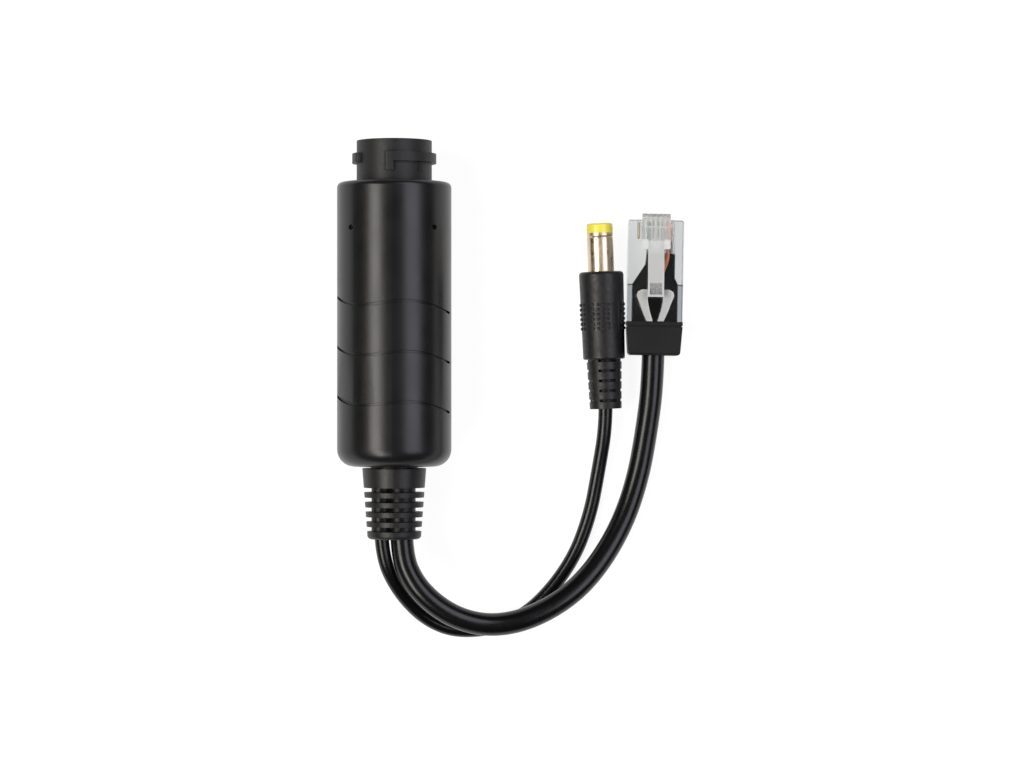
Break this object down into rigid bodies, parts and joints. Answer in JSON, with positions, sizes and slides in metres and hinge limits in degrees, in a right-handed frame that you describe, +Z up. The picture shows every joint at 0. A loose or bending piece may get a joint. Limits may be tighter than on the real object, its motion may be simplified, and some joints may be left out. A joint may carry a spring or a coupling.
{
  "type": "inline poe splitter",
  "caption": "Round potted inline power splitter with a bayonet network jack at one end and a ribbed strain relief with a barrel plug lead and a network plug lead at the other.",
  "frame": {"origin": "under the middle of the unit's length (collar, housing and strain relief), on the surface it lies on", "axes": "+Y along the unit towards the jack, +Z up from the surface it lies on, +X towards the side where the plugs lie"},
  "size_m": [0.0726, 0.1042, 0.0238],
  "materials": {
    "housing_plastic": "satin moulded black",
    "collar_plastic": "fine matte moulded black",
    "carrier_plastic": "matte moulded black",
    "gilt_contact": "gold plated phosphor bronze",
    "board_laminate": "green solder mask",
    "chip_plastic": "moulded epoxy",
    "ferrite": "sintered ferrite",
    "copper": "enamelled copper wire",
    "capacitor_can": "drawn aluminium can",
    "lead_insulation": "extruded insulation",
    "potting_compound": "cast potting compound",
    "boot_plastic": "soft moulded black",
    "cable_jacket": "satin extruded black jacket",
    "plug_grip_plastic": "soft moulded black",
    "nickel": "nickel plated, turned",
    "yellow_plastic": "glossy moulded yellow",
    "core_insulation": "moulded natural",
    "clear_plastic": "clear moulded",
    "plug_boot_plastic": "soft moulded black",
    "orange_insulation": "extruded orange",
    "white_insulation": "extruded white",
    "green_insulation": "extruded green"
  },
  "bodies": {
    "root": {"housing_shell": "housing_plastic", "bayonet_collar": "collar_plastic", "contact_carrier": "carrier_plastic", "jack_contact_1": "gilt_contact", "jack_contact_2": "gilt_contact", "jack_contact_3": "gilt_contact", "jack_contact_4": "gilt_contact", "jack_contact_5": "gilt_contact", "jack_contact_6": "gilt_contact", "jack_contact_7": "gilt_contact", "jack_contact_8": "gilt_contact", "circuit_board": "board_laminate", "data_transformer": "chip_plastic", "transformer_core": "ferrite", "transformer_winding": "copper", "input_capacitor": "capacitor_can", "output_capacitor": "capacitor_can", "power_inductor": "ferrite", "bridge_rectifier_a": "chip_plastic", "bridge_rectifier_b": "chip_plastic", "controller_chip": "chip_plastic", "optocoupler": "chip_plastic", "output_diode": "chip_plastic", "network_leads": "lead_insulation", "power_leads": "lead_insulation", "potting_fill": "potting_compound", "cable_boot": "boot_plastic", "network_cable": "cable_jacket", "dc_cable": "cable_jacket", "dc_plug_body": "plug_grip_plastic", "dc_barrel": "nickel", "dc_tip_insulator": "yellow_plastic", "dc_core_insulator": "core_insulation", "dc_centre_contact": "gilt_contact", "plug_shell": "clear_plastic", "plug_boot": "plug_boot_plastic", "plug_contact_1": "gilt_contact", "plug_contact_2": "gilt_contact", "plug_contact_3": "gilt_contact", "plug_contact_4": "gilt_contact", "plug_contact_5": "gilt_contact", "plug_contact_6": "gilt_contact", "plug_contact_7": "gilt_contact", "plug_contact_8": "gilt_contact", "conductor_orange": "orange_insulation", "conductor_white_orange": "white_insulation", "conductor_white_green": "white_insulation", "conductor_green": "green_insulation"}
  },
  "joints": []
}
